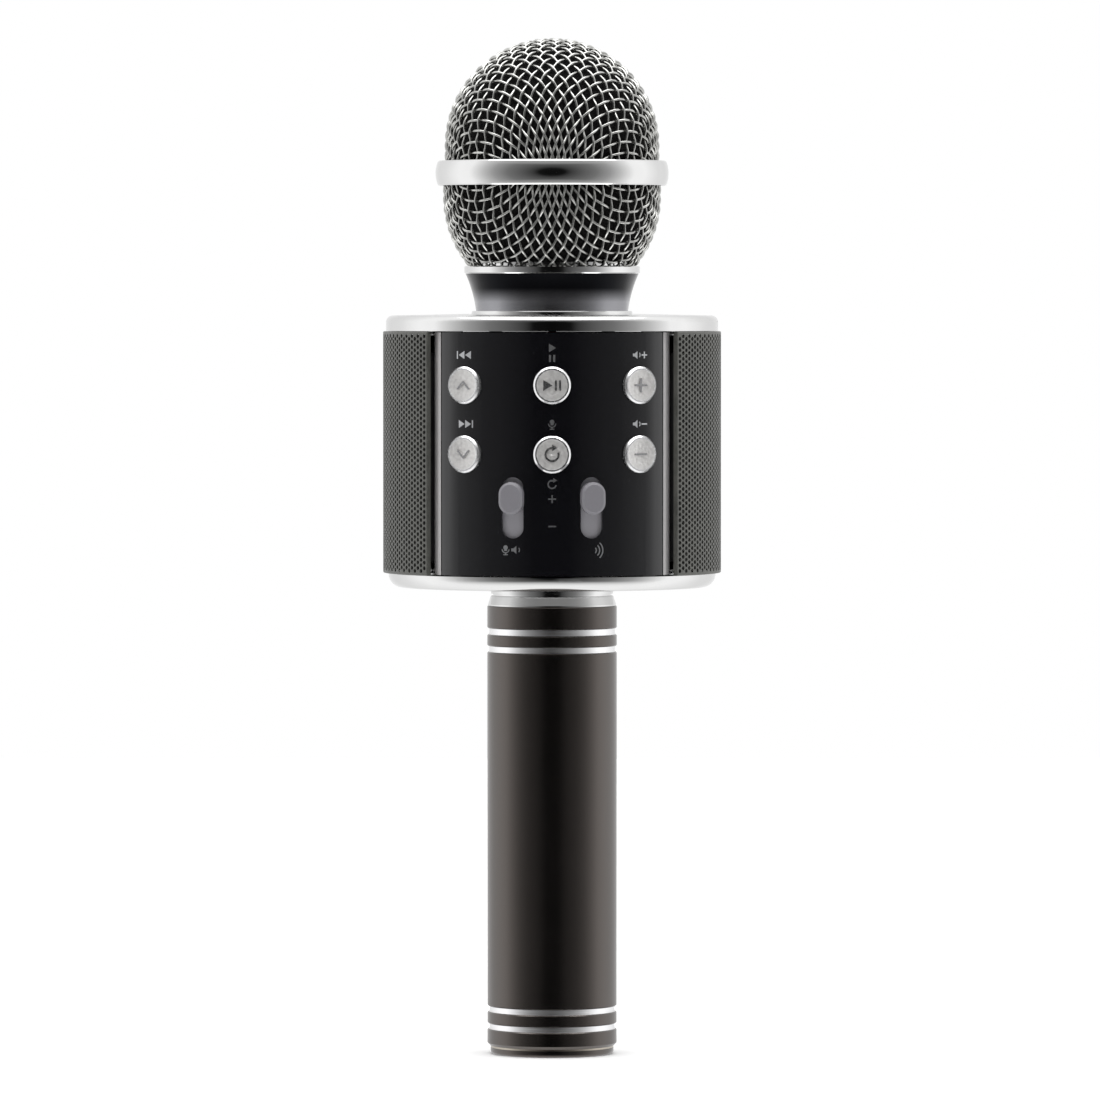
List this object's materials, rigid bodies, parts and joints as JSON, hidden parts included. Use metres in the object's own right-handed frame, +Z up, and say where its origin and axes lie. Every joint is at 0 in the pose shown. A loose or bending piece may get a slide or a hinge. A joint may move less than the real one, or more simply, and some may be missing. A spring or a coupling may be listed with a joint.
{
  "type": "karaoke microphone",
  "caption": "Handheld karaoke microphone: woven wire ball head, flared neck, loudspeaker drum with push buttons and slide controls, and a tubular battery grip.",
  "frame": {"origin": "middle of the flat base of the end cap, where the standing microphone touches the table", "axes": "+Z up along the grip to the ball head, -Y out of the control panel, +X to the right as seen from the panel"},
  "size_m": [0.0818, 0.0823, 0.246],
  "materials": {
    "chrome_trim": "bright chromed plastic and die-cast metal",
    "black_anodised": "satin black anodised aluminium with bright-cut rings",
    "gloss_panel": "high-gloss black",
    "neck_lacquer": "satin black lacquer",
    "grille_paint": "fine matte powder coat",
    "steel_wire": "drawn and woven steel wire",
    "foam": "open-cell polyurethane foam",
    "speaker_cloth": "woven acoustic cloth",
    "black_moulding": "moulded, fine spark texture",
    "button_silver": "vacuum-metallised",
    "knob_grey": "satin grey moulding",
    "board_green": "solder mask",
    "zinc_steel": "bright zinc plate",
    "magnet_ferrite": "sintered ferrite",
    "paper_cone": "pressed paper pulp",
    "rubber_black": "soft matte rubber",
    "cell_wrap": "heat-shrink wrap",
    "lead_jacket": "flexible jacket",
    "lamp_lens": "frosted light pipe",
    "capsule_metal": "pressed can"
  },
  "bodies": {
    "case": {"end_cap": "black_anodised", "grip_tube": "black_anodised", "battery_tray": "black_moulding", "battery_cell": "cell_wrap", "battery_tabs": "zinc_steel", "protection_board": "board_green", "battery_lead": "lead_jacket", "grip_collar": "chrome_trim", "stem_nut": "zinc_steel", "lower_cover": "chrome_trim", "upper_cover": "chrome_trim", "chassis": "black_moulding", "case_screws": "zinc_steel", "front_panel": "gloss_panel", "rear_panel": "gloss_panel", "side_grille_left": "grille_paint", "side_grille_right": "grille_paint", "dust_cloths": "speaker_cloth", "speaker_basket_left": "black_moulding", "speaker_basket_right": "black_moulding", "speaker_magnet_left": "magnet_ferrite", "speaker_magnet_right": "magnet_ferrite", "speaker_surround_left": "rubber_black", "speaker_surround_right": "rubber_black", "speaker_screws": "zinc_steel", "speaker_leads": "lead_jacket", "control_board": "board_green", "key_boards": "board_green", "key_switches": "black_moulding", "slide_faders": "black_moulding", "board_screws": "zinc_steel", "io_board": "board_green", "usb_socket": "zinc_steel", "usb_tongue": "black_moulding", "card_socket": "zinc_steel", "charge_socket": "zinc_steel", "jack_socket": "black_moulding", "power_switch": "black_moulding", "status_lamp": "lamp_lens", "neck": "neck_lacquer", "neck_ring": "chrome_trim", "capsule_cradle": "black_moulding", "mic_capsule": "capsule_metal", "capsule_lead": "lead_jacket"},
    "previous_button": {"previous_button": "button_silver"},
    "next_button": {"next_button": "button_silver"},
    "play_button": {"play_button": "button_silver"},
    "replay_button": {"replay_button": "button_silver"},
    "volume_up_button": {"volume_up_button": "button_silver"},
    "volume_down_button": {"volume_down_button": "button_silver"},
    "mic_volume_knob": {"mic_volume_knob": "knob_grey"},
    "echo_knob": {"echo_knob": "knob_grey"},
    "power_knob": {"power_knob": "knob_grey"},
    "speaker_cone_left": {"speaker_cone_left": "paper_cone"},
    "speaker_cone_right": {"speaker_cone_right": "paper_cone"},
    "head_lining": {"foam_liner": "foam"},
    "ball_head": {"head_collar": "chrome_trim", "grille_bowl": "steel_wire", "grille_band": "chrome_trim", "grille_dome": "steel_wire"}
  },
  "joints": [
    {"name": "previous_press", "type": "slide", "parent": "case", "child": "previous_button", "axis": [0.5195, 0.8545, 0], "range_m": [0, 0.0006], "stiffness_N_per_m": 400, "springref_m": -0.0008},
    {"name": "next_press", "type": "slide", "parent": "case", "child": "next_button", "axis": [0.5195, 0.8545, 0], "range_m": [0, 0.0006], "stiffness_N_per_m": 400, "springref_m": -0.0008},
    {"name": "play_press", "type": "slide", "parent": "case", "child": "play_button", "axis": [0, 1, 0], "range_m": [0, 0.0006], "stiffness_N_per_m": 400, "springref_m": -0.0008},
    {"name": "replay_press", "type": "slide", "parent": "case", "child": "replay_button", "axis": [0, 1, 0], "range_m": [0, 0.0006], "stiffness_N_per_m": 400, "springref_m": -0.0008},
    {"name": "volume_up_press", "type": "slide", "parent": "case", "child": "volume_up_button", "axis": [-0.5195, 0.8545, 0], "range_m": [0, 0.0006], "stiffness_N_per_m": 400, "springref_m": -0.0008},
    {"name": "volume_down_press", "type": "slide", "parent": "case", "child": "volume_down_button", "axis": [-0.5195, 0.8545, 0], "range_m": [0, 0.0006], "stiffness_N_per_m": 400, "springref_m": -0.0008},
    {"name": "mic_volume_slide", "type": "slide", "parent": "case", "child": "mic_volume_knob", "axis": [0, 0, 1], "range_m": [-0.0058, 0.0012]},
    {"name": "echo_slide", "type": "slide", "parent": "case", "child": "echo_knob", "axis": [0, 0, 1], "range_m": [-0.0058, 0.0012]},
    {"name": "power_slide", "type": "slide", "parent": "case", "child": "power_knob", "axis": [0, 0, 1], "range_m": [0, 0.0025]},
    {"name": "speaker_cone_left_travel", "type": "slide", "parent": "case", "child": "speaker_cone_left", "axis": [-1, 0, 0], "range_m": [-0.001, 0.001], "stiffness_N_per_m": 900},
    {"name": "speaker_cone_right_travel", "type": "slide", "parent": "case", "child": "speaker_cone_right", "axis": [1, 0, 0], "range_m": [-0.001, 0.001], "stiffness_N_per_m": 900},
    {"name": "ball_head_rise", "type": "slide", "parent": "case", "child": "head_lining", "axis": [0, 0, 1], "range_m": [0, 0.00401]},
    {"name": "ball_head_turn", "type": "hinge", "parent": "head_lining", "child": "ball_head", "pos_m": [0, 0, 0.1915], "axis": [0, 0, 1], "range_deg": [0, 1440]}
  ],
  "couplings": [
    {"joint": "ball_head_rise", "follows": "ball_head_turn", "m_per_rad": 0.00015915}
  ]
}
